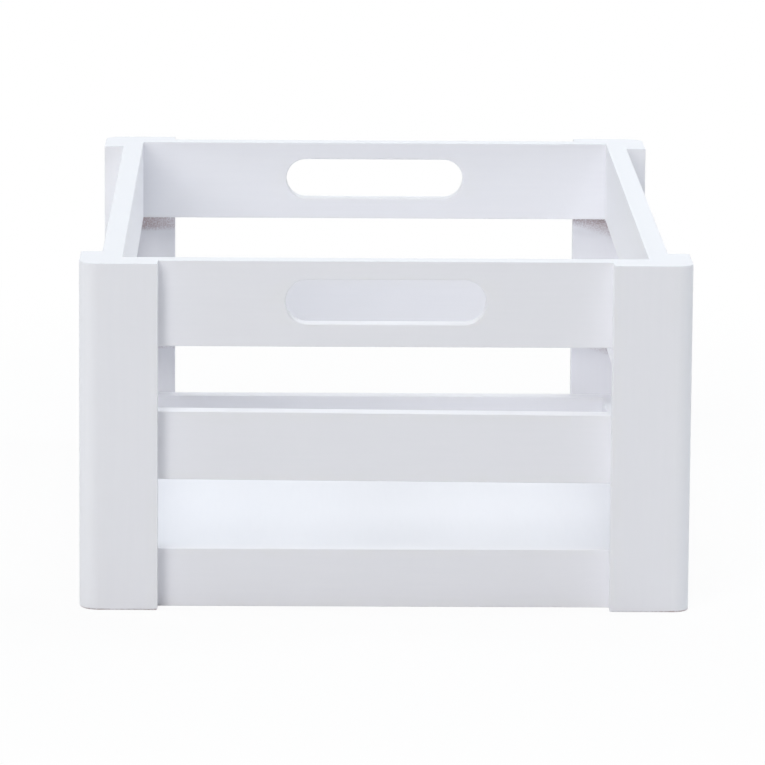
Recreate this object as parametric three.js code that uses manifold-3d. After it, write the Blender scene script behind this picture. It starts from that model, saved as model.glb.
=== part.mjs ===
// Painted wooden apple crate: four corner posts of L section, slatted walls glued and pinned inside
// them, a hand slot through the top rail of each short end, and a floor panel held in grooves.
//
// Millimetres, +Z up. The origin is the centre of the footprint, on the ground. The short ends face
// -Y (front) and +Y (back), the long sides face -X (left) and +X (right).

import * as THREE from 'three';
import { mergeVertices } from 'three/addons/utils/BufferGeometryUtils.js';
import Module from 'manifold-3d';

const wasm = await Module();
wasm.setup();

// Footprint, over the posts
const crateWidth = 300;
const crateDepth = 450;

// Courses of boards and the gaps between them, from the ground up
const lowerHeight = 29;
const lowerGap = 34;
const middleHeight = 34;
const upperGap = 33;
const topHeight = 42.5;

// Boards
const boardThickness = 10.5;
const boardArris = 0.5;

// Corner posts: legs of equal width, the outer corner well rounded
const postLeg = 38.5;
const postWall = 10.5;
const postCorner = 9;
const postArris = 0.6;
const postEndEasing = 0.4;

// Hand slot: a rounded slot, its centre measured down from the rim
const slotLength = 98.5;
const slotHeight = 22;
const slotDrop = 20.3;
const slotRounding = 0.7;

// Floor panel and the groove that holds its edges
const floorThickness = 5;
const floorLift = 6;
const grooveDepth = 4;
const grooveClearance = 0.25;

// Headed brads, driven from inside through each board end into a post leg
const bradLength = 18;
const bradDiameter = 1.6;
const bradHeadDiameter = 2.6;
const bradHeadThickness = 0.7;
const bradPointLength = 2;
const bradSink = 0.4;
const bradInset = 30;
const bradClearance = 0.15;
const topBradShares = [0.25, 0.75];
const middleBradShares = [0.5];

// Film of glue between a board and what it meets, and the overrun of every cut
const glueLine = 0.1;
const cutOverrun = 1;

// Facets of the rounded forms
const cornerSteps = 9;
const arrisSteps = 3;
const slotEndSteps = 12;
const bradSides = 8;

// Levels
const middleBottom = lowerHeight + lowerGap;
const topBottom = middleBottom + middleHeight + upperGap;
const crateHeight = topBottom + topHeight;
const grooveBottom = floorLift - grooveClearance;
const grooveTop = floorLift + floorThickness + grooveClearance;

// Depth from a wall's outer plane, the posts' faces, to the faces of its boards
const boardOuter = postWall + glueLine;
const boardInner = boardOuter + boardThickness;

const courses = [
  {
    name: 'lower',
    bottom: 0,
    height: lowerHeight,
    bradHeights: [(grooveTop + lowerHeight) / 2],
  },
  {
    name: 'middle',
    bottom: middleBottom,
    height: middleHeight,
    bradHeights: middleBradShares.map((share) => share * middleHeight),
  },
  {
    name: 'top',
    bottom: topBottom,
    height: topHeight,
    bradHeights: topBradShares.map((share) => share * topHeight),
  },
];

const whitePaint = () => new THREE.MeshStandardMaterial({
  color: 0xe9ebf0,
  roughness: 0.45,
  metalness: 0,
});

const brightSteel = () => new THREE.MeshStandardMaterial({
  color: 0xa9abad,
  roughness: 0.35,
  metalness: 1,
});

// Solids and geometries

function solidOf(geometry) {
  const bare = new THREE.BufferGeometry();
  bare.setAttribute('position', geometry.getAttribute('position'));
  bare.setIndex(geometry.getIndex());
  const merged = mergeVertices(bare);
  return new wasm.Manifold(new wasm.Mesh({
    numProp: 3,
    vertProperties: new Float32Array(merged.getAttribute('position').array),
    triVerts: new Uint32Array(merged.getIndex().array),
  }));
}

function geometryOf(solid) {
  const mesh = solid.getMesh();
  const geometry = new THREE.BufferGeometry();
  geometry.setAttribute('position', new THREE.BufferAttribute(mesh.vertProperties, mesh.numProp));
  geometry.setIndex(new THREE.BufferAttribute(mesh.triVerts, 1));
  const faceted = geometry.toNonIndexed();
  faceted.computeVertexNormals();
  return faceted;
}

function namedMesh(name, geometry, material) {
  const mesh = new THREE.Mesh(geometry, material);
  mesh.name = name;
  return mesh;
}

// A box from its lowest and highest corners
function boxBetween(low, high) {
  const size = new THREE.Vector3().subVectors(high, low);
  const centre = new THREE.Vector3().addVectors(low, high).multiplyScalar(0.5);
  return new THREE.BoxGeometry(size.x, size.y, size.z).translate(centre.x, centre.y, centre.z);
}

// The points of a quarter circle, anticlockwise from the angle given
function arcPoints(centreX, centreY, radius, start, steps) {
  const points = [];
  for (let i = 0; i <= steps; i += 1) {
    const angle = start + (i / steps) * (Math.PI / 2);
    points.push(new THREE.Vector2(
      centreX + Math.cos(angle) * radius,
      centreY + Math.sin(angle) * radius,
    ));
  }
  return points;
}

// A closed body through rings of points that all have the same count, fan-capped at both ends.
// Each ring runs anticlockwise as seen from the first ring towards the last.
function loft(rings) {
  const count = rings[0].length;
  const positions = rings.flat().flatMap((point) => [point.x, point.y, point.z]);
  const faces = [];
  for (let ring = 0; ring + 1 < rings.length; ring += 1) {
    for (let i = 0; i < count; i += 1) {
      const here = ring * count + i;
      const next = ring * count + ((i + 1) % count);
      faces.push(here, next + count, next, here, here + count, next + count);
    }
  }
  const last = (rings.length - 1) * count;
  for (let i = 1; i + 1 < count; i += 1) {
    faces.push(0, i, i + 1, last, last + i + 1, last + i);
  }
  const geometry = new THREE.BufferGeometry();
  geometry.setAttribute('position', new THREE.Float32BufferAttribute(positions, 3));
  geometry.setIndex(faces);
  return geometry;
}

// What a quarter-round easing takes off one long edge of a board. The edge runs along X at
// y = 0, z = 0, with the board on its +Y, +Z side.
function arrisCutter(length) {
  const profile = new THREE.Shape();
  profile.moveTo(-cutOverrun, -cutOverrun);
  profile.lineTo(boardArris, -cutOverrun);
  profile.lineTo(boardArris, 0);
  profile.absarc(boardArris, boardArris, boardArris, -Math.PI / 2, -Math.PI, true);
  profile.lineTo(-cutOverrun, boardArris);
  profile.closePath();
  const strip = new THREE.ExtrudeGeometry(profile, {
    depth: length,
    bevelEnabled: false,
    curveSegments: arrisSteps,
  });
  strip.translate(0, 0, -length / 2);
  const alongX = new THREE.Matrix4().makeBasis(
    new THREE.Vector3(0, 1, 0),
    new THREE.Vector3(0, 0, 1),
    new THREE.Vector3(1, 0, 0),
  );
  return strip.applyMatrix4(alongX);
}

// The long edges are eased only where they are exposed, and stay square where they meet a post or
// another board, so that the filled and painted joints are flush.
function easeLongEdges(board, height, outerExposed, innerExposed) {
  const edges = [
    { length: outerExposed, y: 0, z: 0, turn: 0 },
    { length: innerExposed, y: boardThickness, z: 0, turn: Math.PI / 2 },
    { length: innerExposed, y: boardThickness, z: height, turn: Math.PI },
    { length: outerExposed, y: 0, z: height, turn: -Math.PI / 2 },
  ];
  return edges.reduce((eased, edge) => {
    const cutter = arrisCutter(edge.length);
    cutter.rotateX(edge.turn);
    cutter.translate(0, edge.y, edge.z);
    return eased.subtract(solidOf(cutter));
  }, board);
}

// Hand slot: a stadium outline swept through the board, flaring at both faces along a quarter
// circle so that the fingers meet no sharp edge.

function stadiumRing(spread, y) {
  const radius = slotHeight / 2 + spread;
  const centreOffset = (slotLength - slotHeight) / 2;
  const ring = [];
  for (const side of [1, -1]) {
    for (let i = 0; i <= slotEndSteps; i += 1) {
      const angle = side * (-Math.PI / 2) + (i / slotEndSteps) * Math.PI;
      ring.push(new THREE.Vector3(
        side * centreOffset + Math.cos(angle) * radius,
        y,
        Math.sin(angle) * radius,
      ));
    }
  }
  return ring;
}

function slotCutter() {
  const flare = [];
  for (let i = 0; i <= arrisSteps; i += 1) {
    const angle = (i / arrisSteps) * (Math.PI / 2);
    flare.push({
      spread: slotRounding * (1 - Math.sin(angle)),
      depth: slotRounding * (1 - Math.cos(angle)),
    });
  }
  const stations = [
    { spread: slotRounding, y: -cutOverrun },
    ...flare.map(({ spread, depth }) => ({ spread, y: depth })),
    ...flare.toReversed().map(({ spread, depth }) => ({ spread, y: boardThickness - depth })),
    { spread: slotRounding, y: boardThickness + cutOverrun },
  ];
  return loft(stations.map(({ spread, y }) => stadiumRing(spread, y)));
}

// Brads. The axis lies along Y with the point towards -Y, and y = 0 is the top of the head.

function bradProfile(clearance, headTop) {
  const shankRadius = bradDiameter / 2 + clearance;
  const headRadius = bradHeadDiameter / 2 + clearance;
  return [
    new THREE.Vector2(0, -bradLength - clearance),
    new THREE.Vector2(shankRadius, bradPointLength - bradLength),
    new THREE.Vector2(shankRadius, -bradHeadThickness - clearance),
    new THREE.Vector2(headRadius, -bradHeadThickness - clearance),
    new THREE.Vector2(headRadius, headTop),
    new THREE.Vector2(0, headTop),
  ];
}

const bradGeometry = () => new THREE.LatheGeometry(bradProfile(0, 0), bradSides);

// The pocket over the sunk head opens at the board's inner face
const bradBore = () => new THREE.LatheGeometry(
  bradProfile(bradClearance, bradSink + cutOverrun),
  bradSides,
);

// Corner post. The outer corner stands at the local origin and the legs run along +X and +Y.

function makePostSolid() {
  const outline = [
    ...arcPoints(postLeg - postArris, postArris, postArris, -Math.PI / 2, arrisSteps),
    new THREE.Vector2(postLeg, postLeg),
    ...arcPoints(postArris, postLeg - postArris, postArris, Math.PI / 2, arrisSteps),
    ...arcPoints(postCorner, postCorner, postCorner, Math.PI, cornerSteps),
  ];
  const stick = new THREE.ExtrudeGeometry(new THREE.Shape(outline), {
    depth: crateHeight - 2 * postEndEasing,
    bevelThickness: postEndEasing,
    bevelSize: postEndEasing,
    bevelOffset: -postEndEasing,
    bevelSegments: arrisSteps,
  });
  stick.translate(0, 0, postEndEasing);

  // The rebate leaves the two legs, and the eased ends stay on the outside only
  const rebate = boxBetween(
    new THREE.Vector3(postWall, postWall, -cutOverrun),
    new THREE.Vector3(postLeg + cutOverrun, postLeg + cutOverrun, crateHeight + cutOverrun),
  );
  let post = solidOf(stick).subtract(solidOf(rebate));
  for (const course of courses) {
    for (const height of course.bradHeights) {
      const z = course.bottom + height;
      const frontBore = bradBore().translate(bradInset, boardInner - bradSink, z);
      const sideBore = bradBore().rotateZ(-Math.PI / 2).translate(boardInner - bradSink, bradInset, z);
      post = post.subtract(solidOf(frontBore)).subtract(solidOf(sideBore));
    }
  }
  return post;
}

function makePosts() {
  const posts = new THREE.Group();
  const shape = geometryOf(makePostSolid());
  const corners = [
    { name: 'post_front_left', x: -1, y: -1, turn: 0 },
    { name: 'post_front_right', x: 1, y: -1, turn: Math.PI / 2 },
    { name: 'post_back_right', x: 1, y: 1, turn: Math.PI },
    { name: 'post_back_left', x: -1, y: 1, turn: -Math.PI / 2 },
  ];
  for (const corner of corners) {
    const post = namedMesh(corner.name, shape, whitePaint());
    post.position.set(corner.x * crateWidth / 2, corner.y * crateDepth / 2, 0);
    post.rotation.z = corner.turn;
    posts.add(post);
  }
  return posts;
}

// Boards. Local X runs along the board, y = 0 is its outer face and z = 0 its lower edge.

function makeBoardSolid(wall, course) {
  const half = wall.boardLength / 2;
  let board = solidOf(boxBetween(
    new THREE.Vector3(-half, 0, 0),
    new THREE.Vector3(half, boardThickness, course.height),
  ));
  board = easeLongEdges(board, course.height, wall.outerExposed, wall.innerExposed);

  if (course.name === 'lower') {
    const groove = boxBetween(
      new THREE.Vector3(-half - cutOverrun, boardThickness - grooveDepth, grooveBottom),
      new THREE.Vector3(half + cutOverrun, boardThickness + cutOverrun, grooveTop),
    );
    board = board.subtract(solidOf(groove));
  }
  if (course.name === 'top' && wall.slotted) {
    const slot = slotCutter().translate(0, 0, course.height - slotDrop);
    board = board.subtract(solidOf(slot));
  }
  for (const side of [-1, 1]) {
    for (const height of course.bradHeights) {
      const bore = bradBore().translate(side * wall.bradOffset, boardThickness - bradSink, height);
      board = board.subtract(solidOf(bore));
    }
  }
  return board;
}

// One wall: three boards and the brads in their ends. It is built facing -Y and turned into place.
function makeWall(wall) {
  const group = new THREE.Group();
  const outerFace = -wall.distance + boardOuter;
  for (const course of courses) {
    const shape = geometryOf(makeBoardSolid(wall, course));
    const board = namedMesh(`${wall.name}_${wall.boardWord}_${course.name}`, shape, whitePaint());
    board.position.set(0, outerFace, course.bottom);
    group.add(board);

    wall.endNames.forEach((endName, end) => {
      const side = end === 0 ? -1 : 1;
      course.bradHeights.forEach((height, index) => {
        const name = `brad_${wall.name}_${course.name}_${endName}_${index + 1}`;
        const brad = namedMesh(name, geometryOf(solidOf(bradGeometry())), brightSteel());
        brad.position.set(
          side * wall.bradOffset,
          outerFace + boardThickness - bradSink,
          course.bottom + height,
        );
        group.add(brad);
      });
    });
  }
  group.rotation.z = wall.turn;
  return group;
}

// The end rails run from post to post, and the side boards fit between the end rails
const endWall = {
  boardWord: 'rail',
  distance: crateDepth / 2,
  boardLength: crateWidth - 2 * boardOuter,
  outerExposed: crateWidth - 2 * postLeg,
  innerExposed: crateWidth - 2 * boardInner,
  bradOffset: crateWidth / 2 - bradInset,
  slotted: true,
};
const sideWall = {
  boardWord: 'board',
  distance: crateWidth / 2,
  boardLength: crateDepth - 2 * (boardInner + glueLine),
  outerExposed: crateDepth - 2 * postLeg,
  innerExposed: crateDepth - 2 * boardInner,
  bradOffset: crateDepth / 2 - bradInset,
  slotted: false,
};

// Floor panel: a plain rectangle whose four edges lie in the grooves of the lower boards
function makeFloor() {
  const tongue = grooveDepth - grooveClearance;
  const halfWidth = crateWidth / 2 - boardInner + tongue;
  const halfDepth = crateDepth / 2 - boardInner + tongue;
  const panel = boxBetween(
    new THREE.Vector3(-halfWidth, -halfDepth, floorLift),
    new THREE.Vector3(halfWidth, halfDepth, floorLift + floorThickness),
  );
  return namedMesh('floor_panel', panel, whitePaint());
}

const crate = new THREE.Group();
crate.add(makePosts());
crate.add(makeWall({ ...endWall, name: 'front', endNames: ['left', 'right'], turn: 0 }));
crate.add(makeWall({ ...endWall, name: 'back', endNames: ['right', 'left'], turn: Math.PI }));
crate.add(makeWall({ ...sideWall, name: 'left', endNames: ['back', 'front'], turn: -Math.PI / 2 }));
crate.add(makeWall({ ...sideWall, name: 'right', endNames: ['front', 'back'], turn: Math.PI / 2 }));
crate.add(makeFloor());

export default crate;
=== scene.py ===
import math

import bpy
import numpy as np
from mathutils import Matrix, Vector


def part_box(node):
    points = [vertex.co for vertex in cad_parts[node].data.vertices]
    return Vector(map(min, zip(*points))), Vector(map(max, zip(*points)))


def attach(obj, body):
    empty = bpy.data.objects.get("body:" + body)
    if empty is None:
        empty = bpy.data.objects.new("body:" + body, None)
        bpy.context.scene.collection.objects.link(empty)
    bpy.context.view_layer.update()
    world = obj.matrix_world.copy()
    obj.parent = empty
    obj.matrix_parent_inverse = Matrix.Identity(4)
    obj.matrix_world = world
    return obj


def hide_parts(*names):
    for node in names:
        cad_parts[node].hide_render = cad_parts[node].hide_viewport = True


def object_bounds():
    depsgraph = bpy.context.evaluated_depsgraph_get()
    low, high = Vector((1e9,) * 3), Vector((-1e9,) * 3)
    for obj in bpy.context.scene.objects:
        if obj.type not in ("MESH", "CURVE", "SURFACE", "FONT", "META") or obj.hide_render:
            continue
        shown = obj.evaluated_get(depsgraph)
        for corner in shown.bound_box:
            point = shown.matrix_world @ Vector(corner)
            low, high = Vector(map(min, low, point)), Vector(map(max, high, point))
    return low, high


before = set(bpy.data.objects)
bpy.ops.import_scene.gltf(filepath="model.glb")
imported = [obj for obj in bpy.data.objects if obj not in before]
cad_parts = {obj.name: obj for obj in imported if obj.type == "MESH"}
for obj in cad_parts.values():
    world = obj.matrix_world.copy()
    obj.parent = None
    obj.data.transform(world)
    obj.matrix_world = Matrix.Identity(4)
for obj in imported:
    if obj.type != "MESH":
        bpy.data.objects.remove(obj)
cadLow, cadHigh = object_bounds()  # the CAD box, before any piece is added
print(f"apple crate: frame loaded, {len(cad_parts)} nodes")

mm = 0.001  # shapes are worked out in millimetres
glueLine = 0.1  # film of glue between the CAD pieces, closed here
seamOverlap = 0.02  # how far a glued face sits inside its neighbour
seamArris = 0.05  # rounding left on an edge that is glued flush
hair = 1e-6  # within this, a point lies on an edge


# Lowest and highest corner of a CAD node, in millimetres
def boxMm(node):
    low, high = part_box(node)
    return np.array(low) / mm, np.array(high) / mm


# Smooth step: 3t^2 - 2t^3, with t held between 0 and 1
def smoothStep(t):
    t = np.clip(t, 0, 1)
    return t * t * (3 - 2 * t)


# Stations along a stick: its two ends, the marks given, and even steps between them
def stationsAlong(low, high, spacing, marks=()):
    fixed = sorted({low, high, *[mark for mark in marks if low < mark < high]})
    parts = [
        np.linspace(a, b, max(2, int(math.ceil((b - a) / spacing)) + 1))[:-1]
        for a, b in zip(fixed, fixed[1:])
    ]
    return np.concatenate([*parts, [high]])


# Stations with rounded ends: at an angle a from 0 to 90 degrees the station stands
# e(1 - cos a) from the end, and the section is drawn in there by e(1 - sin a)
def easedStations(low, high, easings, steps, spacing, marks=()):
    angle = np.linspace(0, np.pi / 2, steps + 1)
    rise, inset = 1 - np.cos(angle), 1 - np.sin(angle)
    first, last = easings
    middle = stationsAlong(low + first, high - last, spacing, marks)[1:-1]
    position = np.concatenate([low + first * rise, middle, (high - last * rise)[::-1]])
    drawn = np.concatenate([first * inset, 0 * middle, last * inset[::-1]])
    return position, drawn


# A closed section of square corners, each rounded. With the unit directions "coming" into a
# corner P and "going" out of it, the rounding of radius r is
# P - coming r(1 - sin a) + going r(1 - cos a) for a from 0 to 90 degrees.
# The straight runs between two roundings are divided evenly.
# corners is (stations, corners, 2) and radii (stations, corners).
def roundedSection(corners, radii, arcSteps, runSteps):
    ahead = np.roll(corners, -1, axis=1) - corners
    going = ahead / np.linalg.norm(ahead, axis=2, keepdims=True)
    coming = np.roll(going, 1, axis=1)
    angle = np.linspace(0, np.pi / 2, arcSteps + 1)
    back, forth = (1 - np.sin(angle))[:, None], (1 - np.cos(angle))[:, None]
    arc = corners[:, :, None] + radii[:, :, None, None] * (
        going[:, :, None] * forth - coming[:, :, None] * back
    )
    share = np.linspace(0, 1, runSteps + 1)[1:-1, None]
    runStart, runEnd = arc[:, :, -1:], np.roll(arc, -1, axis=1)[:, :, :1]
    run = runStart + (runEnd - runStart) * share
    return np.concatenate([arc, run], axis=2).reshape(len(corners), -1, 2)


# One value for each point of a rounded section: the corner's own on its rounding, and the
# two neighbours' mixed evenly along a straight run
def alongSection(cornerValues, runStarts, runEnds, arcSteps, runSteps):
    arc = np.repeat(cornerValues[:, :, None], arcSteps + 1, axis=2)
    share = np.linspace(0, 1, runSteps + 1)[1:-1]
    run = runStarts[:, :, None] * (1 - share) + runEnds[:, :, None] * share
    return np.concatenate([arc, run], axis=2).reshape(len(cornerValues), -1)


# Faces of rings of points laid one after another: a quad between each two neighbours on two
# neighbouring rings, and a flat face over each end unless the last ring joins the first
def ringFaces(ringCount, around, ringsJoin=False):
    here = np.arange(ringCount * around).reshape(ringCount, around)
    beside = np.roll(here, -1, axis=1)
    if ringsJoin:
        nextHere, nextBeside = np.roll(here, -1, axis=0), np.roll(beside, -1, axis=0)
    else:
        here, nextHere = here[:-1], here[1:]
        beside, nextBeside = beside[:-1], beside[1:]
    quads = np.stack([here, beside, nextBeside, nextHere], axis=-1).reshape(-1, 4)
    if ringsJoin:
        return quads.tolist()
    firstCap = np.arange(around)[::-1]
    lastCap = np.arange(around) + (ringCount - 1) * around
    return [*quads.tolist(), firstCap.tolist(), lastCap.tolist()]


# Volume inside a closed mesh: a sixth of the sum of a . (b x c) over its triangles.
# It is negative where the faces point inwards.
def volumeInside(points, faces):
    fans = [(f[0], f[i], f[i + 1]) for f in faces for i in range(1, len(f) - 1)]
    a, b, c = (points[list(side)] for side in zip(*fans))
    return float(np.sum(a * np.cross(b, c)) / 6)


# A painted piece from points in millimetres. It stands for one CAD node. Edges with both
# points in the set "creased" keep a sharp corner.
def addPainted(name, node, points, faces, material, values, creased=None):
    if volumeInside(points, faces) < 0:
        faces = [face[::-1] for face in faces]
    mesh = bpy.data.meshes.new(name)
    mesh.from_pydata((points * mm).tolist(), [], faces)
    mesh.polygons.foreach_set("use_smooth", np.ones(len(faces), bool))
    for label, value in values.items():
        layer = mesh.attributes.new(label, "FLOAT", "POINT")
        layer.data.foreach_set("value", np.asarray(value, np.float32).ravel())
    if creased is not None:
        pairs = np.empty(2 * len(mesh.edges), np.int32)
        mesh.edges.foreach_get("vertices", pairs)
        sharp = creased[pairs.reshape(-1, 2)].all(axis=1)
        mesh.attributes.new("sharp_edge", "BOOLEAN", "EDGE").data.foreach_set("value", sharp)
    mesh.materials.append(material)
    mesh.update()
    piece = bpy.data.objects.new(name, mesh)
    bpy.context.scene.collection.objects.link(piece)
    shading = piece.modifiers.new("flatFacesStayFlat", "WEIGHTED_NORMAL")
    shading.mode = "FACE_AREA"
    shading.weight = 50
    shading.keep_sharp = True
    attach(piece, "root")
    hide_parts(node)
    return piece


def startGroup(name, inputs, outputs):
    group = bpy.data.node_groups.new(name, "ShaderNodeTree")
    for side, sockets in (("INPUT", inputs), ("OUTPUT", outputs)):
        for label, kind in sockets:
            group.interface.new_socket(
                name=label, in_out=side, socket_type="NodeSocket" + kind
            )
    return group, group.nodes.new("NodeGroupInput"), group.nodes.new("NodeGroupOutput")


def addMath(tree, operation, *values, clamp=False):
    node = tree.nodes.new("ShaderNodeMath")
    node.operation = operation
    node.use_clamp = clamp
    for slot, value in enumerate(values):
        if isinstance(value, (int, float)):
            node.inputs[slot].default_value = value
        else:
            tree.links.new(value, node.inputs[slot])
    return node.outputs[0]


def addNoise(tree, vector, scale, detail, roughness=0.5, distortion=0.0):
    node = tree.nodes.new("ShaderNodeTexNoise")
    node.inputs["Scale"].default_value = scale
    node.inputs["Detail"].default_value = detail
    node.inputs["Roughness"].default_value = roughness
    node.inputs["Distortion"].default_value = distortion
    tree.links.new(vector, node.inputs["Vector"])
    return node.outputs["Fac"]


# Value remapped from one range to another, eased at both ends, and held there
def addRange(tree, value, fromLow, fromHigh, toLow=0.0, toHigh=1.0):
    node = tree.nodes.new("ShaderNodeMapRange")
    node.interpolation_type = "SMOOTHSTEP"
    tree.links.new(value, node.inputs["Value"])
    for label, number in zip(
        ("From Min", "From Max", "To Min", "To Max"),
        (fromLow, fromHigh, toLow, toHigh),
    ):
        node.inputs[label].default_value = number
    return node.outputs["Result"]


# Mix of two colours. The node has sockets of every type: its colours go in at 6 and 7 and
# come out at 2.
def addMix(tree, factor, first, second):
    node = tree.nodes.new("ShaderNodeMix")
    node.data_type = "RGBA"
    tree.links.new(factor, node.inputs["Factor"])
    for slot, colour in ((6, first), (7, second)):
        if isinstance(colour, tuple):
            node.inputs[slot].default_value = (*colour, 1)
        else:
            tree.links.new(colour, node.inputs[slot])
    return node.outputs[2]


paintLook = {
    "colour": (0.91, 0.91, 0.945),
    "deeperTone": (0.901, 0.902, 0.938),
    "rubbedTone": (0.90, 0.90, 0.91),
    "rimShadeTone": (0.848, 0.857, 0.898),  # painted shade: the rim's upper faces, darkened against the light from above
    "rimShadeLevels": (0.17205, 0.1724),  # heights in metres over which it sets in
    "thinAndShadedTone": (0.71, 0.665, 0.69),  # thin coat over the wood, and painted shade
    "bareAndShadedTone": (0.57, 0.47, 0.475),
    "toneLevels": (0.25, 0.75),
    "roughness": 0.42,
    "specular": 0.14,
    "mottle": {"scale": 26, "detail": 3},
    "mottleRoughness": 0.10,
    "mottleHeight": 0.05,
    "peel": {"scale": 720, "detail": 2, "roughness": 0.45},
    "peelRoughness": 0.06,
    "peelHeight": 0.010,
    "grain": {"scale": 1, "detail": 5, "roughness": 0.55, "distortion": 0.15},
    "grainAcross": 620,
    "grainAlong": 22,
    "grainLevels": (0.32, 0.68),
    "grainInTone": 0.35,  # the rest of the tone is mottling
    "grainHeight": 0.007,
}


# Sprayed coat: broad mottling, the fine peel of the sprayed film and the wood's grain showing
# through it, each a noise. The tone mixes grain and mottling by their shares. The roughness
# is the sheen with mottling and peel swinging it about its middle. The height, in
# millimetres, is the sum of all three.
def makePaintCoat():
    group, given, made = startGroup(
        "sprayedPaint",
        [("Position", "Vector"), ("Grain", "Vector"), ("Sheen", "Float")],
        [("Colour", "Color"), ("Roughness", "Float"), ("Height", "Float")],
    )
    position, grainPlace = given.outputs["Position"], given.outputs["Grain"]
    mottle = addNoise(group, position, **paintLook["mottle"])
    peel = addNoise(group, position, **paintLook["peel"])
    grain = addNoise(group, grainPlace, **paintLook["grain"])
    streaks = addRange(group, grain, *paintLook["grainLevels"])
    tone = addMath(group, "MULTIPLY", mottle, 1 - paintLook["grainInTone"])
    tone = addMath(group, "MULTIPLY_ADD", streaks, paintLook["grainInTone"], tone)
    colour = addMix(
        group,
        addRange(group, tone, *paintLook["toneLevels"]),
        paintLook["deeperTone"],
        paintLook["colour"],
    )
    middle = (paintLook["mottleRoughness"] + paintLook["peelRoughness"]) / 2
    rough = addMath(group, "MULTIPLY", peel, paintLook["peelRoughness"])
    rough = addMath(group, "MULTIPLY_ADD", mottle, paintLook["mottleRoughness"], rough)
    rough = addMath(
        group, "ADD", rough, addMath(group, "SUBTRACT", given.outputs["Sheen"], middle)
    )
    height = addMath(group, "MULTIPLY", peel, paintLook["peelHeight"])
    height = addMath(group, "MULTIPLY_ADD", mottle, paintLook["mottleHeight"], height)
    height = addMath(group, "MULTIPLY_ADD", streaks, paintLook["grainHeight"], height)
    group.links.new(colour, made.inputs["Colour"])
    group.links.new(rough, made.inputs["Roughness"])
    group.links.new(height, made.inputs["Height"])
    return group


rubLook = {
    "patches": {"scale": 95, "detail": 4, "roughness": 0.6},
    "levels": (0.35, 0.62),
    "amount": 0.5,
    "smoother": 0.10,
}


# Where handling has polished the eased edges: the arris value broken up by a fine noise
def makeEdgeRub():
    group, given, made = startGroup(
        "edgeRub",
        [("Position", "Vector"), ("Arris", "Float"), ("Amount", "Float")],
        [("Mask", "Float")],
    )
    patches = addNoise(group, given.outputs["Position"], **rubLook["patches"])
    broken = addRange(group, patches, *rubLook["levels"])
    mask = addMath(group, "MULTIPLY", given.outputs["Arris"], broken)
    mask = addMath(group, "MULTIPLY", mask, given.outputs["Amount"], clamp=True)
    group.links.new(mask, made.inputs["Mask"])
    return group


speckleAndShadeLook = {
    "undersides": (0.130, 0.063),  # of the top and middle boards, metres
    "grains": {"scale": 1100, "detail": 2, "roughness": 0.6},
    "contrast": 3.6,
    "startsAt": -0.02,  # depth, as a share of the reach
    "thinAndShadeLevels": (0.0, 0.55),
    "bareAndShadeLevels": (0.45, 1.0),
    "rougher": 0.3,
}


# Thin, speckled paint in the shelter right under a board, where the spray reaches least, and
# painted shade there, where the board shades the face below it. With d the depth below the
# board's underside as a share of the reach, the bare share is shelter x spread (1 - d), the
# product held at 1 before the shelter is put in. A fine noise n breaks it up by a factor
# 1 + contrast (n - 1/2), and a foot's worn edge likewise, which is also painted contact shade.
def makeThinPaintAndShadeUnderBoards():
    group, given, made = startGroup(
        "thinPaintAndShadeUnderBoards",
        [
            ("Position", "Vector"), ("Shelter", "Float"), ("Spread", "Float"),
            ("Underside", "Float"), ("Reach", "Float"), ("FootWearAndShade", "Float"),
        ],
        [("Mask", "Float")],
    )
    split = group.nodes.new("ShaderNodeSeparateXYZ")
    group.links.new(given.outputs["Position"], split.inputs[0])
    below = addMath(group, "SUBTRACT", given.outputs["Underside"], split.outputs["Z"])
    share = addMath(group, "DIVIDE", below, given.outputs["Reach"])
    left = addMath(group, "SUBTRACT", 1, share, clamp=True)
    bare = addMath(group, "MULTIPLY", left, given.outputs["Spread"], clamp=True)
    started = addMath(group, "GREATER_THAN", share, speckleAndShadeLook["startsAt"])
    bare = addMath(group, "MULTIPLY", bare, started)
    bare = addMath(group, "MULTIPLY", bare, given.outputs["Shelter"])
    bare = addMath(group, "MAXIMUM", bare, given.outputs["FootWearAndShade"])
    grains = addNoise(group, given.outputs["Position"], **speckleAndShadeLook["grains"])
    contrast = speckleAndShadeLook["contrast"]
    broken = addMath(group, "MULTIPLY_ADD", grains, contrast, 1 - contrast / 2)
    mask = addMath(group, "MULTIPLY", bare, broken, clamp=True)
    group.links.new(mask, made.inputs["Mask"])
    return group


bradFillerLook = {
    "heights": (0.020125, 0.080, 0.140625, 0.161875),  # of the brads, metres over the ground
    "radius": 0.0017,
    "flatShare": 0.2,  # of the radius, still at full depth
    "railInset": 0.120,  # metres from the middle of a rail to its brads
    "sideInset": 0.195,
    "dip": 0.05,  # millimetres
    "smoother": 0.04,
}


# Filler over each sunk brad head: 1 at the brad's axis, falling smoothly to 0 at the
# radius of the filled pocket. Along is the distance from the middle of the board.
def makeBradFiller():
    group, given, made = startGroup(
        "bradFiller",
        [("Along", "Float"), ("Height", "Float"), ("Inset", "Float")],
        [("Mask", "Float")],
    )
    side = addMath(group, "ABSOLUTE", given.outputs["Along"])
    side = addMath(group, "SUBTRACT", side, given.outputs["Inset"])
    side = addMath(group, "MULTIPLY", side, side)
    nearest = None
    for level in bradFillerLook["heights"]:
        rise = addMath(group, "SUBTRACT", given.outputs["Height"], level)
        away = addMath(group, "SQRT", addMath(group, "MULTIPLY_ADD", rise, rise, side))
        nearest = away if nearest is None else addMath(group, "MINIMUM", nearest, away)
    radius = bradFillerLook["radius"]
    mask = addRange(group, nearest, bradFillerLook["flatShare"] * radius, radius, 1.0, 0.0)
    group.links.new(mask, made.inputs["Mask"])
    return group


paintCoat = makePaintCoat()
edgeRub = makeEdgeRub()
thinPaintAndShadeUnderBoards = makeThinPaintAndShadeUnderBoards()
bradFiller = makeBradFiller()


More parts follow.
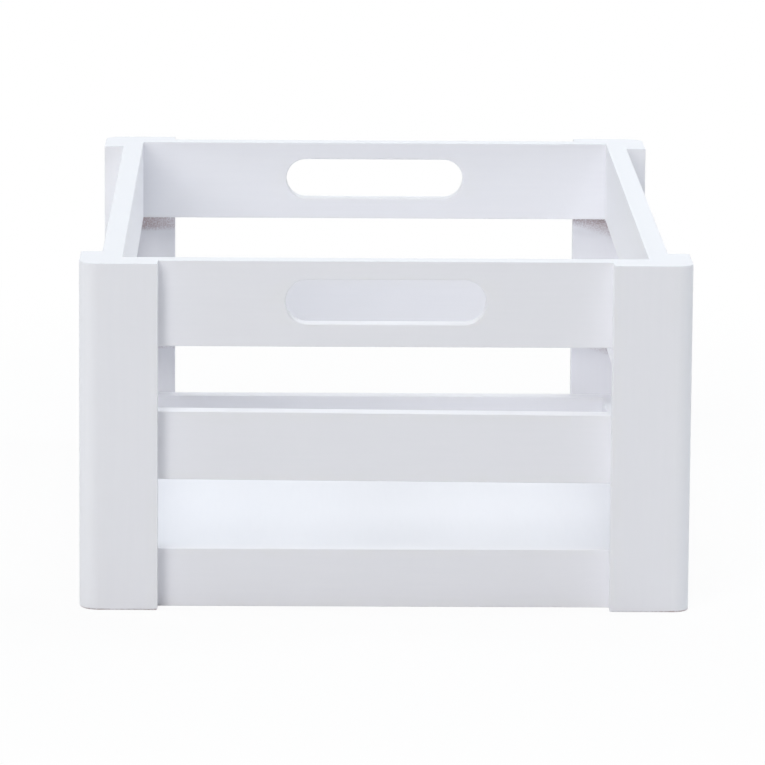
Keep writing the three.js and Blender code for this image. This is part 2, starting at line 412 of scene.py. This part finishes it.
def placeGroup(tree, group, links, numbers=()):
    node = tree.nodes.new("ShaderNodeGroup")
    node.node_tree = group
    for label, source in links.items():
        tree.links.new(source, node.inputs[label])
    for label, number in dict(numbers).items():
        node.inputs[label].default_value = number
    return node


def addAttribute(tree, label):
    node = tree.nodes.new("ShaderNodeAttribute")
    node.attribute_name = label
    return node.outputs["Fac"]


# White satin paint. grainAxis is the way the wood runs, 0, 1 or 2 for X, Y or Z. Brads stand
# along it at bradInset from the middle, where that is given.
def makeWhitePaint(
    name, grainAxis, sheen=paintLook["roughness"], bradInset=None, speckledAndShaded=False
):
    material = bpy.data.materials.new(name)
    material.use_nodes = True
    tree = material.node_tree
    shader = tree.nodes["Principled BSDF"]
    position = tree.nodes.new("ShaderNodeTexCoord").outputs["Object"]
    stretch = tree.nodes.new("ShaderNodeMapping")
    scale = [paintLook["grainAcross"]] * 3
    scale[grainAxis] = paintLook["grainAlong"]
    stretch.inputs["Scale"].default_value = scale
    tree.links.new(position, stretch.inputs["Vector"])
    coat = placeGroup(
        tree,
        paintCoat,
        {"Position": position, "Grain": stretch.outputs["Vector"]},
        {"Sheen": sheen},
    )
    colour, height = coat.outputs["Colour"], coat.outputs["Height"]
    roughness = coat.outputs["Roughness"]

    rub = placeGroup(
        tree,
        edgeRub,
        {"Position": position, "Arris": addAttribute(tree, "arris")},
        {"Amount": rubLook["amount"]},
    ).outputs["Mask"]
    colour = addMix(tree, rub, colour, paintLook["rubbedTone"])
    roughness = addMath(tree, "MULTIPLY_ADD", rub, -rubLook["smoother"], roughness)

    split = tree.nodes.new("ShaderNodeSeparateXYZ")
    tree.links.new(position, split.inputs[0])
    # Painted shade: the rim's upper faces are darkened to the rim's shade tone
    rimShade = addRange(tree, split.outputs["Z"], *paintLook["rimShadeLevels"])
    colour = addMix(tree, rimShade, colour, paintLook["rimShadeTone"])
    if bradInset is not None:
        filler = placeGroup(
            tree,
            bradFiller,
            {"Along": split.outputs[grainAxis], "Height": split.outputs["Z"]},
            {"Inset": bradInset},
        ).outputs["Mask"]
        height = addMath(tree, "MULTIPLY_ADD", filler, -bradFillerLook["dip"], height)
        roughness = addMath(
            tree, "MULTIPLY_ADD", filler, -bradFillerLook["smoother"], roughness
        )
    # Thin speckled paint with painted shade under the boards, and at the worn foot edge
    if speckledAndShaded:
        attributes = {
            "Position": position,
            "Shelter": addAttribute(tree, "shelter"),
            "Spread": addAttribute(tree, "spread"),
            "Reach": addAttribute(tree, "reach"),
            "FootWearAndShade": addAttribute(tree, "footWearAndShade"),
        }
        masks = [
            placeGroup(
                tree, thinPaintAndShadeUnderBoards, attributes, {"Underside": underside}
            ).outputs["Mask"]
            for underside in speckleAndShadeLook["undersides"]
        ]
        thinAndShaded = addMath(tree, "MAXIMUM", *masks)
        for tone, levels in (("thinAndShadedTone", "thinAndShadeLevels"), ("bareAndShadedTone", "bareAndShadeLevels")):
            share = addRange(tree, thinAndShaded, *speckleAndShadeLook[levels])
            colour = addMix(tree, share, colour, paintLook[tone])
        roughness = addMath(tree, "MULTIPLY_ADD", thinAndShaded, speckleAndShadeLook["rougher"], roughness)
    bump = tree.nodes.new("ShaderNodeBump")
    bump.inputs["Distance"].default_value = mm
    bump.inputs["Strength"].default_value = 1
    tree.links.new(height, bump.inputs["Height"])
    tree.links.new(colour, shader.inputs["Base Color"])
    tree.links.new(roughness, shader.inputs["Roughness"])
    tree.links.new(bump.outputs["Normal"], shader.inputs["Normal"])
    shader.inputs["Specular IOR Level"].default_value = paintLook["specular"]
    return material


postLook = {
    "wall": 10.5,  # thickness of each leg
    # each post as it was cut and sanded: its legs, the outer corner, the foot and the top
    "leg": {
        "post_front_left": 38.6,
        "post_front_right": 39.1,
        "post_back_right": 38.5,
        "post_back_left": 38.5,
    },
    "cornerRadius": {
        "post_front_left": 10.0,
        "post_front_right": 8.0,
        "post_back_right": 9.0,
        "post_back_left": 9.0,
    },
    "footEasing": {
        "post_front_left": 1.3,
        "post_front_right": 0.7,
        "post_back_right": 0.8,
        "post_back_left": 0.8,
    },
    "topEasing": 0.5,
    "easingSteps": 6,
    "legArris": 0.4,
    "leastArris": 0.15,
    "innerArris": 0.2,  # the inner corner and the legs' inner edges
    "cornerWear": 0.3,  # of the rounded outer corner, where an arris has 1
    "spacing": 9.0,
    "arcSteps": 12,
    "runSteps": 4,
    # bare paint and painted shade below the boards, at the tips of the legs where it is 1 in
    # the inner corner
    "shelterAtTip": {
        "post_front_left": 0.6,
        "post_front_right": 0.4,
        "post_back_right": 0.7,
        "post_back_left": 0.45,
    },
    # how far down it reaches, in millimetres, in the inner corner and at the tips
    "reach": {
        "post_front_left": (9.0, 7.0),
        "post_front_right": (11.0, 6.0),
        "post_back_right": (15.5, 6.0),
        "post_back_left": (9.7, 9.7),
    },
    # how far it holds before it thins out: 1 fades straight away
    "spread": {
        "post_front_left": 1.6,
        "post_front_right": 1.1,
        "post_back_right": 1.25,
        "post_back_left": 3.0,
    },
    # wear of the foot's edge with painted contact shade, at the outer corner and at the tips of
    # the legs
    "footWearAndShade": {
        "post_front_left": (0.8, 1.0),
        "post_front_right": (1.0, 0.1),
        "post_back_right": (0.6, 0.5),
        "post_back_left": (0.6, 0.5),
    },
    "footWearAndShadeHeights": (0.3, 1.0),  # millimetres up the foot, from full wear and shade to none
    "footWearAndShadeOnFlats": 0.5,  # share of it on the straight runs between the corners
}


# L section carried up the post. In the corner's own axes, u and v inwards from the outer
# corner, the corners are (0,0) (L,0) (L,w) (w,w) (w,L) (0,L); the ends draw in on the
# outer faces and the tips of the legs only.
def makePost(node, material):
    low, high = boxMm(node)
    leg, wall = postLook["leg"][node], postLook["wall"]
    across = -1 if "left" in node else 1
    depth = -1 if "front" in node else 1
    corner = np.array([0, 0, leg, 0, leg, wall, wall, wall, wall, leg, 0, leg]).reshape(6, 2)
    drawIn = np.array([1, 1, -1, 1, -1, 0, 0, 0, 0, -1, 1, -1]).reshape(6, 2)
    easings = postLook["footEasing"][node], postLook["topEasing"]
    firm, gone = postLook["footWearAndShadeHeights"]
    height, inset = easedStations(
        low[2], high[2], easings, postLook["easingSteps"], postLook["spacing"], [low[2] + gone]
    )
    corners = corner[None] + drawIn[None] * inset[:, None, None]
    outerRadius = postLook["cornerRadius"][node] - inset
    arris = np.maximum(postLook["legArris"] - inset, postLook["leastArris"])
    tight = np.full_like(inset, postLook["innerArris"])
    radii = np.stack([outerRadius, arris, tight, tight, tight, arris], axis=1)
    steps = postLook["arcSteps"], postLook["runSteps"]
    outline = roundedSection(corners, radii, *steps)
    x = across * (abs(low[0] if across < 0 else high[0]) - outline[..., 0])
    y = depth * (abs(low[1] if depth < 0 else high[1]) - outline[..., 1])
    z = np.broadcast_to(height[:, None], x.shape)
    points = np.stack([x, y, z], axis=-1).reshape(-1, 3)

    stations = len(height)
    eased = np.tile([postLook["cornerWear"], 1, 0, 0, 0, 1], (stations, 1))
    none = np.zeros((stations, 6))

    # 1 in the inner corner, going evenly to tip at the legs' tips, and rest elsewhere
    def overInnerFaces(tip, rest):
        at = [[rest, rest, tip, 1, tip, rest]]
        runStart = [[rest, rest, tip, 1, rest, rest]]
        runEnd = [[rest, rest, 1, tip, rest, rest]]
        rows = [np.repeat(np.array(row), stations, axis=0) for row in (at, runStart, runEnd)]
        return alongSection(*rows, *steps)

    atCorner, atTip = postLook["footWearAndShade"][node]
    # Painted contact shade with the worn foot edge, strongest at the ground
    wear = np.tile([atCorner, atTip, atTip, 0, atTip, atTip], (stations, 1)).astype(float)
    wear = wear * smoothStep((gone - height + low[2]) / (gone - firm))[:, None]
    onFlats = postLook["footWearAndShadeOnFlats"] * wear
    farReach, tipReach = postLook["reach"][node]
    values = {
        "arris": alongSection(eased, none, none, *steps),
        "shelter": overInnerFaces(postLook["shelterAtTip"][node], 0),
        "spread": np.full(outline.shape[:2], postLook["spread"][node]),
        "reach": overInnerFaces(tipReach / farReach, 1) * farReach * mm,
        "footWearAndShade": alongSection(wear, onFlats, np.roll(onFlats, -1, axis=1), *steps),
    }
    faces = ringFaces(stations, outline.shape[1])
    return addPainted("painted_" + node, node, points, faces, material, values)


postPaint = makeWhitePaint("whitePaintUprightGrain", 2, speckledAndShaded=True)
for node in postLook["cornerRadius"]:
    makePost(node, postPaint)
print("apple crate: corner posts")


boardLook = {
    "arris": 0.5,
    "leastArris": 0.02,
    "wornFrom": 0.3,  # share of the full arris from which it counts as worn
    "runOut": 1.2,  # an outer arris fades over this length before it meets a post
    "runOutSteps": 5,
    "mitreShares": (0, 0.05, 0.12, 0.25, 0.42, 0.67, 1),  # of the arris, stations of a mitre
    "legReach": 38.5,  # how far each post leg covers a board's outer face, from the corner
    "grooveDepth": 4.0,
    "grooveLevels": (5.97, 11.03),  # its lower and upper side over the ground
    "grooveArris": 0.12,
    "spacing": 11.0,
    "endSteps": 2,
    "arcSteps": 5,
    "runSteps": 5,
    # rise of a board per metre of its length, a little out of true as nailed by hand
    "rise": {"front_rail_middle": -5.8, "left_board_middle": 0.9, "right_board_middle": -0.7},
}
walls = {
    "front": {"word": "rail", "axis": 0, "outwards": -1},
    "back": {"word": "rail", "axis": 0, "outwards": 1},
    "left": {"word": "board", "axis": 1, "outwards": -1},
    "right": {"word": "board", "axis": 1, "outwards": 1},
}
halfSpan = np.array(cadHigh)[:2] / mm  # half the crate's width and depth


# Rounding of the two arrises on a board's outer face: full between the posts, running
# out to the flush seam just before each post leg
def outerArris(along, axis):
    clear = halfSpan[axis] - boardLook["legReach"]
    grown = smoothStep((clear - np.abs(along)) / boardLook["runOut"])
    return seamArris + (boardLook["arris"] - seamArris) * grown


# Rounding of the arrises on the inner face. A rail's meets the side boards' at a mitre:
# d past the corner its radius is r - sqrt(r^2 - (r - d)^2), which follows their rounding.
def innerArris(along, axis, corner):
    r = boardLook["arris"]
    if axis == 1:
        return np.full_like(along, r)
    d = np.clip(np.abs(along) - corner, 0, r)
    return np.maximum(r - np.sqrt(r * r - (r - d) ** 2) * (d > 0), seamArris)


# Where a wall's boards stand: which way they run, from where to where, their outer face,
# their thickness and levels, with the glue line closed at the ends and the outer face
def boardPlace(node):
    wall = walls[node.split("_")[0]]
    low, high = boxMm(node)
    axis, outwards = wall["axis"], wall["outwards"]
    grow = glueLine + seamOverlap
    inner, outer = sorted((abs(low[1 - axis]), abs(high[1 - axis])))
    return {
        "axis": axis,
        "outwards": outwards,
        "half": high[axis] + grow,
        "outer": outer + grow,
        "thickness": outer - inner + grow,
        "bottom": low[2],
        "top": high[2],
        "rise": boardLook["rise"].get(node, 0.0) * mm,
    }


# From a board's own axes, along, depth from its outer face and height, to the crate's
def placeBoard(place, along, depth, height):
    across = place["outwards"] * (place["outer"] - depth)
    height = height + place["rise"] * along
    if place["axis"] == 0:
        return np.stack([along, across, height], axis=-1)
    return np.stack([across, along, height], axis=-1)


mitreCorner = abs(boxMm("left_board_top")[1][0])  # where the side boards' inner faces stand


# Stations where an arris runs out, and where a rail's is mitred
def arrisMarks(axis):
    clear = halfSpan[axis] - boardLook["legReach"]
    fades = clear - np.linspace(0, boardLook["runOut"], boardLook["runOutSteps"] + 1)
    mitres = mitreCorner + boardLook["arris"] * np.array(boardLook["mitreShares"])
    marks = np.concatenate([fades, mitres if axis == 0 else []])
    return [*marks, *-marks]


# Wear of an arris: its radius as a share of the full one, and none where it is small
def arrisWear(radius):
    share = np.clip(radius / boardLook["arris"], 0, 1)
    return share * (share > boardLook["wornFrom"])


# Plain board: a rectangle of depth by height with its four arrises rounded by the radii
# above, carried along. A lower board has the floor's groove in its inner face.
def makeBoard(node, material):
    place = boardPlace(node)
    half = place["half"]
    along, inset = easedStations(
        -half,
        half,
        (seamArris, seamArris),
        boardLook["endSteps"],
        boardLook["spacing"],
        arrisMarks(place["axis"]),
    )
    t, bottom, top = place["thickness"], place["bottom"], place["top"]
    corner = [(0, bottom), (t, bottom), (t, top), (0, top)]
    drawIn = [(1, 1), (-1, 1), (-1, -1), (1, -1)]
    outer = outerArris(along, place["axis"])
    inner = innerArris(along, place["axis"], mitreCorner)
    radii = [outer, inner, inner, outer]
    worn = [outer, inner, inner, outer]
    if "lower" in node:
        bed = t - boardLook["grooveDepth"]
        low, high = boardLook["grooveLevels"]
        corner[2:2] = [(t, low), (bed, low), (bed, high), (t, high)]
        drawIn[2:2] = [(0, 0)] * 4
        tight = np.full_like(along, boardLook["grooveArris"])
        radii[2:2] = [tight] * 4
        worn[2:2] = [0 * tight] * 4
    corners = np.array(corner, float)[None] + np.array(drawIn)[None] * inset[:, None, None]
    radii = np.maximum(np.stack(radii, axis=1) - inset[:, None], boardLook["leastArris"])
    steps = boardLook["arcSteps"], boardLook["runSteps"]
    outline = roundedSection(corners, radii, *steps)
    station = np.broadcast_to(along[:, None], outline.shape[:2])
    points = placeBoard(place, station, outline[..., 0], outline[..., 1]).reshape(-1, 3)
    worn = arrisWear(np.stack(worn, axis=1))
    none = np.zeros_like(worn)
    values = {"arris": alongSection(worn, none, none, *steps)}
    faces = ringFaces(len(along), outline.shape[1])
    return addPainted("painted_" + node, node, points, faces, material, values)


railPaint = makeWhitePaint("whitePaintRails", 0, bradInset=bradFillerLook["railInset"])
boardPaint = makeWhitePaint("whitePaintSideBoards", 1, bradInset=bradFillerLook["sideInset"])
for wallName, wall in walls.items():
    for course in ("lower", "middle", "top"):
        node = f"{wallName}_{wall['word']}_{course}"
        if course == "top" and wall["word"] == "rail":
            continue
        makeBoard(node, railPaint if wall["axis"] == 0 else boardPaint)
print("apple crate: boards")


slotLook = {
    "length": 98.5,
    "height": 22.0,
    "drop": 20.3,  # centre of the slot below the rim
    "rounding": 0.7,  # of the slot's edges on both faces
    "spacing": 7.0,
    "endSteps": 8,
    "edgeSteps": 3,
    "flareSteps": 5,
    "wallSteps": 4,
    "faceSteps": 7,
    "collar": 1.5,  # width of the even border inside the rail's edges
    "endAngle": 50.0,  # part of each slot end that faces the rail's end, degrees
    "shoulder": 60.0,  # half the length of rail edge that faces the straight of the slot
}


# Outline of the rail and, for each of its points, the matching point of the slot. Going
# round once from the right end: the end, the top edge, the left end, the bottom edge.
# The slot's point is centre + (h/2 + spread)(cos p, sin p), where the angle p grows evenly
# up to 90 degrees at the shoulder and the centre then slides along the straight.
def slotOutline(place, marks):
    half = place["half"]
    lift = place["top"] - slotLook["drop"]
    top, bottom = place["top"] - lift, place["bottom"] - lift
    endAngle, shoulder = math.radians(slotLook["endAngle"]), slotLook["shoulder"]
    straight = (slotLook["length"] - slotLook["height"]) / 2
    edge = stationsAlong(-half, half, slotLook["spacing"], [*marks, shoulder, -shoulder])
    endRise = np.linspace(bottom, top, slotLook["endSteps"] + 1)[1:-1]

    size = np.abs(edge)
    past = np.clip((half - size) / (half - shoulder), 0, 1)
    turn = endAngle + (math.pi / 2 - endAngle) * past
    centre = np.sign(edge) * straight * np.clip(size / shoulder, 0, 1)
    turn = np.where(edge >= 0, turn, math.pi - turn)  # over the top edge, right to left
    count, ends = len(edge), len(endRise)
    endTurn = np.where(endRise > 0, endRise / top, -endRise / bottom) * endAngle

    x = np.concatenate([np.full(ends, half), edge[::-1], np.full(ends, -half), edge])
    z = np.concatenate([endRise, np.full(count, top), endRise[::-1], np.full(count, bottom)])
    angle = np.concatenate([endTurn, turn[::-1], math.pi - endTurn[::-1], -turn])
    slotX = np.concatenate(
        [np.full(ends, straight), centre[::-1], np.full(ends, -straight), centre]
    )
    outwardX = np.where(np.abs(x) >= half - hair, np.sign(x), 0)
    outwardZ = np.where(z >= top - hair, 1, np.where(z <= bottom + hair, -1, 0))
    return {
        "edge": np.stack([x, z], 1),
        "outward": np.stack([outwardX, outwardZ], 1).astype(float),
        "centre": np.stack([slotX, 0 * slotX], 1),
        "turn": np.stack([np.cos(angle), np.sin(angle)], 1),
        "lift": lift,
    }


# Slotted rail: a closed ring that starts on the slot's wall, flares out to the front face,
# crosses it to the rail's edge, turns over the edge and comes back by the other face.
# Flare: spread q(1 - sin a), depth q(1 - cos a). Edge: inset r(1 - sin a), depth r(1 - cos a).
def makeSlottedRail(node, material):
    place = boardPlace(node)
    t = place["thickness"]
    line = slotOutline(place, arrisMarks(0))
    q, radius = slotLook["rounding"], slotLook["height"] / 2
    atEnd = np.abs(line["edge"][:, 0]) >= place["half"] - hair
    front = np.where(atEnd, seamArris, outerArris(line["edge"][:, 0], 0))[:, None]
    back = np.where(atEnd, seamArris, innerArris(line["edge"][:, 0], 0, mitreCorner))[:, None]

    def slotPoint(spread):
        return line["centre"] + (radius + spread) * line["turn"]

    def edgePoint(inset):
        return line["edge"] - inset * line["outward"]

    limit = np.stack([line["edge"].min(axis=0), line["edge"].max(axis=0)])
    limit += np.array([[1], [-1]]) * slotLook["collar"]
    collar = np.clip(line["edge"], limit[0], limit[1])

    rings, worn = [], []

    def addRing(flat, depth, wear=0.0):
        depth = np.broadcast_to(np.asarray(depth, float).reshape(-1), len(flat))
        rings.append(np.stack([flat[:, 0], depth, flat[:, 1] + line["lift"]], axis=1))
        worn.append(np.broadcast_to(np.asarray(wear, float).reshape(-1), len(flat)))

    flare = np.linspace(np.pi / 2, 0, slotLook["flareSteps"] + 1)
    arc = np.linspace(0, np.pi / 2, boardLook["arcSteps"] + 1)
    shares = np.linspace(0, 1, slotLook["faceSteps"] + 1)[1:-1]
    frontWear, backWear = arrisWear(front[:, 0]), arrisWear(back[:, 0])
    for share in np.linspace(1, 0, slotLook["wallSteps"] + 1)[1:-1]:
        addRing(slotPoint(0), q + (t - 2 * q) * share)
    for a in flare:
        addRing(slotPoint(q * (1 - math.sin(a))), q * (1 - math.cos(a)), 1)
    for share in shares:
        addRing(slotPoint(q) * (1 - share) + collar * share, 0)
    addRing(collar, 0)
    for a in arc:
        addRing(edgePoint(front * (1 - math.sin(a))), front * (1 - math.cos(a)), frontWear)
    for share in np.linspace(0, 1, slotLook["edgeSteps"] + 1)[1:-1]:
        addRing(edgePoint(0), front * (1 - share) + (t - back) * share)
    for a in arc[::-1]:
        addRing(edgePoint(back * (1 - math.sin(a))), t - back * (1 - math.cos(a)), backWear)
    addRing(collar, t)
    for share in shares[::-1]:
        addRing(slotPoint(q) * (1 - share) + collar * share, t)
    for a in flare[::-1]:
        addRing(slotPoint(q * (1 - math.sin(a))), t - q * (1 - math.cos(a)), 1)

    rings = np.stack(rings)
    points = placeBoard(place, rings[..., 0], rings[..., 1], rings[..., 2]).reshape(-1, 3)
    faces = ringFaces(*rings.shape[:2], ringsJoin=True)
    values = {"arris": np.stack(worn)}
    atCorner = np.abs(line["outward"]).sum(axis=1) > 1.5  # on an end and on an edge at once
    beyond = np.abs(rings[..., 0]) > place["half"] - 2 * seamArris
    creased = (atCorner[None] & beyond).ravel()
    return addPainted("painted_" + node, node, points, faces, material, values, creased)


for node in ("front_rail_top", "back_rail_top"):
    makeSlottedRail(node, railPaint)
print("apple crate: slotted top rails")


panelLook = {
    "arris": 0.3,
    "leastArris": 0.05,
    "spacing": 14.0,
    "endSteps": 3,
    "arcSteps": 3,
    "runSteps": 12,
    "roughness": 0.46,
}


# Floor panel: a thin rectangle carried along Y, its edges standing in the grooves
def makeFloorPanel(node, material):
    low, high = boxMm(node)
    easings = panelLook["arris"], panelLook["arris"]
    along, inset = easedStations(
        low[1], high[1], easings, panelLook["endSteps"], panelLook["spacing"]
    )
    corner = np.array([(low[0], low[2]), (high[0], low[2]), (high[0], high[2]), (low[0], high[2])])
    drawIn = np.array([(1, 1), (-1, 1), (-1, -1), (1, -1)])
    corners = corner[None] + drawIn[None] * inset[:, None, None]
    radii = np.maximum(panelLook["arris"] - inset, panelLook["leastArris"])
    radii = np.repeat(radii[:, None], 4, axis=1)
    outline = roundedSection(corners, radii, panelLook["arcSteps"], panelLook["runSteps"])
    station = np.broadcast_to(along[:, None], outline.shape[:2])
    points = np.stack([outline[..., 0], station, outline[..., 1]], axis=-1).reshape(-1, 3)
    faces = ringFaces(len(along), outline.shape[1])
    values = {"arris": np.zeros(len(points))}
    return addPainted("painted_" + node, node, points, faces, material, values)


panelPaint = makeWhitePaint("whitePaintFloorPanel", 1, sheen=panelLook["roughness"])
makeFloorPanel("floor_panel", panelPaint)
print("apple crate: floor panel")


wireLook = {
    "colour": (0.56, 0.57, 0.58),
    "darker": (0.40, 0.405, 0.41),
    "drawn": {"scale": 2600, "detail": 3, "roughness": 0.6},
    "clouded": {"scale": 300, "detail": 2},
    "levels": (0.3, 0.7),
    "roughness": (0.28, 0.44),
    "drawnHeight": 0.004,  # millimetres
}


# Bright drawn wire: fine speckle in tone and roughness
def makeBradWire():
    material = bpy.data.materials.new("brightBradWire")
    material.use_nodes = True
    tree = material.node_tree
    shader = tree.nodes["Principled BSDF"]
    shader.inputs["Metallic"].default_value = 1
    position = tree.nodes.new("ShaderNodeTexCoord").outputs["Object"]
    drawn = addNoise(tree, position, **wireLook["drawn"])
    clouded = addNoise(tree, position, **wireLook["clouded"])
    share = addRange(tree, clouded, *wireLook["levels"])
    colour = addMix(tree, share, wireLook["darker"], wireLook["colour"])
    roughness = addRange(tree, drawn, *wireLook["levels"], *wireLook["roughness"])
    tree.links.new(colour, shader.inputs["Base Color"])
    tree.links.new(roughness, shader.inputs["Roughness"])
    bump = tree.nodes.new("ShaderNodeBump")
    bump.inputs["Distance"].default_value = wireLook["drawnHeight"] * mm
    tree.links.new(drawn, bump.inputs["Height"])
    tree.links.new(bump.outputs["Normal"], shader.inputs["Normal"])
    return material


bradWire = makeBradWire()
for name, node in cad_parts.items():
    if name.startswith("brad_"):
        node.data.materials.clear()
        node.data.materials.append(bradWire)
print("apple crate: brads")


stageLook = {
    "floorSize": 40.0,
    "floorColour": (0.88, 0.88, 0.89),
    "shadowShare": 0.08,  # how much of the floor's own light the camera sees by the crate
    "shadowFade": (0.34, 0.80),  # metres from the middle over which that share falls to 0
    "ambientColour": (0.94, 0.96, 1.0),
    "ambient": 0.065,
}
# Softboxes: azimuth from the front towards the right, and elevation, both in degrees
lampLook = {
    "keySoftbox": {
        "azimuth": -22, "elevation": 20, "distance": 6.0, "size": 2.0, "watts": 73.5,
        "colour": (1.0, 0.988, 0.984),
    },
    "upperKeySoftbox": {
        "azimuth": -30, "elevation": 50, "distance": 6.0, "size": 2.0, "watts": 47.0,
        "colour": (0.993, 1.0, 0.997),
    },
    "leftSoftbox": {
        "azimuth": -90, "elevation": 35, "distance": 2.5, "size": 1.5, "watts": 15.3,
        "colour": (0.96, 1.0, 0.995),
    },
    "rightSoftbox": {
        "azimuth": 90, "elevation": 35, "distance": 2.5, "size": 1.5, "watts": 16.3,
        "colour": (0.9, 0.955, 1.0),
    },
    "highFrontSoftbox": {
        "azimuth": 0, "elevation": 60, "distance": 2.5, "size": 1.5, "watts": 12.2,
        "colour": (0.98, 0.986, 1.0),
    },
    "highBackSoftbox": {
        "azimuth": 180, "elevation": 60, "distance": 2.5, "size": 1.5, "watts": 15.8,
        "colour": (0.94, 0.99, 1.0),
    },
    "backRightSoftbox": {
        "azimuth": 120, "elevation": 60, "distance": 2.5, "size": 1.5, "watts": 13.7,
        "colour": (0.92, 0.976, 1.0),
    },
}


# 1 for a ray that shows the surroundings: from the camera, off gloss or let through
def addSeenRays(tree):
    path = tree.nodes.new("ShaderNodeLightPath")
    seen = addMath(tree, "MAXIMUM", path.outputs["Is Camera Ray"], path.outputs["Is Glossy Ray"])
    return addMath(tree, "MAXIMUM", seen, path.outputs["Is Transmission Ray"])


# A pale floor that the camera sees as white, apart from a share of its own light and shadow
def makeFloor():
    half = stageLook["floorSize"] / 2
    mesh = bpy.data.meshes.new("studioFloor")
    mesh.from_pydata(
        [(-half, -half, 0), (half, -half, 0), (half, half, 0), (-half, half, 0)],
        [],
        [(0, 1, 2, 3)],
    )
    floor = bpy.data.objects.new("studioFloor", mesh)
    bpy.context.scene.collection.objects.link(floor)
    material = bpy.data.materials.new("paleFloor")
    material.use_nodes = True
    tree = material.node_tree
    tree.nodes.clear()
    output = tree.nodes.new("ShaderNodeOutputMaterial")
    pale = tree.nodes.new("ShaderNodeBsdfDiffuse")
    pale.inputs["Color"].default_value = (*stageLook["floorColour"], 1)
    white = tree.nodes.new("ShaderNodeEmission")
    white.inputs["Strength"].default_value = 1
    veil = tree.nodes.new("ShaderNodeMixShader")
    away = tree.nodes.new("ShaderNodeVectorMath")
    away.operation = "LENGTH"
    tree.links.new(tree.nodes.new("ShaderNodeTexCoord").outputs["Object"], away.inputs[0])
    near, far = stageLook["shadowFade"]
    whiteness = addRange(tree, away.outputs["Value"], near, far, 1 - stageLook["shadowShare"], 1)
    share = addMath(tree, "MULTIPLY", addSeenRays(tree), whiteness)
    tree.links.new(share, veil.inputs[0])
    tree.links.new(pale.outputs[0], veil.inputs[1])
    tree.links.new(white.outputs[0], veil.inputs[2])
    tree.links.new(veil.outputs[0], output.inputs["Surface"])
    mesh.materials.append(material)


# Weak ambient light, white where it is seen
def makeWorld():
    world = bpy.data.worlds.new("paleStudio")
    bpy.context.scene.world = world
    world.use_nodes = True
    tree = world.node_tree
    tree.nodes.clear()
    output = tree.nodes.new("ShaderNodeOutputWorld")
    ambient = tree.nodes.new("ShaderNodeBackground")
    ambient.inputs["Color"].default_value = (*stageLook["ambientColour"], 1)
    ambient.inputs["Strength"].default_value = stageLook["ambient"]
    white = tree.nodes.new("ShaderNodeBackground")
    white.inputs["Color"].default_value = (1, 1, 1, 1)
    white.inputs["Strength"].default_value = 1
    pick = tree.nodes.new("ShaderNodeMixShader")
    tree.links.new(addSeenRays(tree), pick.inputs[0])
    tree.links.new(ambient.outputs[0], pick.inputs[1])
    tree.links.new(white.outputs[0], pick.inputs[2])
    tree.links.new(pick.outputs[0], output.inputs["Surface"])


# A square softbox that faces the middle of the crate
def makeSoftbox(name, look):
    azimuth, elevation = math.radians(look["azimuth"]), math.radians(look["elevation"])
    flat = math.cos(elevation)
    towards = Vector((flat * math.sin(azimuth), -flat * math.cos(azimuth), math.sin(elevation)))
    lamp = bpy.data.lights.new(name, "AREA")
    lamp.size = look["size"]
    lamp.energy = look["watts"]
    lamp.color = look["colour"]
    holder = bpy.data.objects.new(name, lamp)
    bpy.context.scene.collection.objects.link(holder)
    middle = (Vector(cadLow) + Vector(cadHigh)) / 2
    holder.location = middle + towards * look["distance"]
    holder.rotation_euler = towards.to_track_quat("Z", "Y").to_euler()
    holder.visible_camera = False


cameraLook = {
    "place": (-47.2219, -3090.2724, 631.6103),  # millimetres
    "pitch": 0.178594,  # looking down, radians
    "yaw": 0.015917,
    "roll": 0.00731,
    "focal": 5963.56,  # in pixels of a frame 765 wide
    "frame": 765,
    "sensor": 36,  # millimetres
    "clip": (0.1, 100),
}


# The camera at the place and angle that a fit to the crate's edges in the photo gave
def makeCamera():
    data = bpy.data.cameras.new("photoCamera")
    data.sensor_width = cameraLook["sensor"]
    data.lens = cameraLook["sensor"] * cameraLook["focal"] / cameraLook["frame"]
    data.clip_start, data.clip_end = cameraLook["clip"]
    camera = bpy.data.objects.new("photoCamera", data)
    bpy.context.scene.collection.objects.link(camera)
    camera.matrix_world = (
        Matrix.Translation([value * mm for value in cameraLook["place"]])
        @ Matrix.Rotation(-cameraLook["yaw"], 4, "Z")
        @ Matrix.Rotation(math.pi / 2 - cameraLook["pitch"], 4, "X")
        @ Matrix.Rotation(cameraLook["roll"], 4, "Z")
    )
    bpy.context.scene.camera = camera


makeFloor()
makeWorld()
for name, look in lampLook.items():
    makeSoftbox(name, look)
makeCamera()
bpy.context.scene.view_settings.view_transform = "Standard"
print("apple crate: floor, light and camera")
